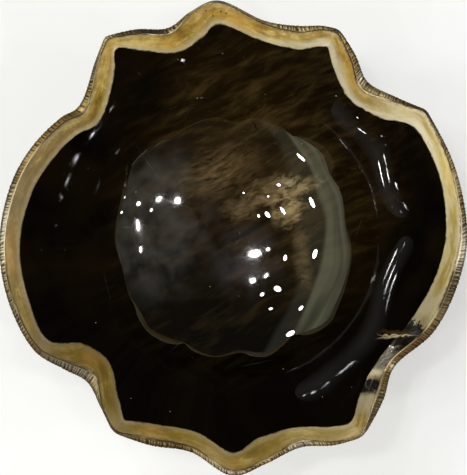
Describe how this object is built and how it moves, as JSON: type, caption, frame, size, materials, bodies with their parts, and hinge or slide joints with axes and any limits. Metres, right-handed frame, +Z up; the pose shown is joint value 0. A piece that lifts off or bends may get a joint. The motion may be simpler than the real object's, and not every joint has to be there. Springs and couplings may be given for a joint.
{
  "type": "horn bowl",
  "caption": "Round polished dark horn bowl sawn to a lobed, pointed edge, with a pale bevel inside the rim and a ribbed metal strip along the sawn edge. Holds fruit or small things.",
  "frame": {"origin": "middle of the flat foot on the underside, at table level", "axes": "+Z up out of the bowl, +Y towards the top tip of the picture, +X to its right"},
  "size_m": [0.1968, 0.1993, 0.073],
  "materials": {
    "dark_horn": "polished dark horn",
    "edge_metal": "worn satin, cross-ribbed"
  },
  "bodies": {
    "root": {"horn_shell": "dark_horn", "rim_strip_top": "edge_metal", "rim_strip_left": "edge_metal", "rim_strip_lower_left": "edge_metal", "rim_strip_bottom": "edge_metal", "rim_strip_lower_right": "edge_metal", "rim_strip_right": "edge_metal"}
  },
  "joints": []
}
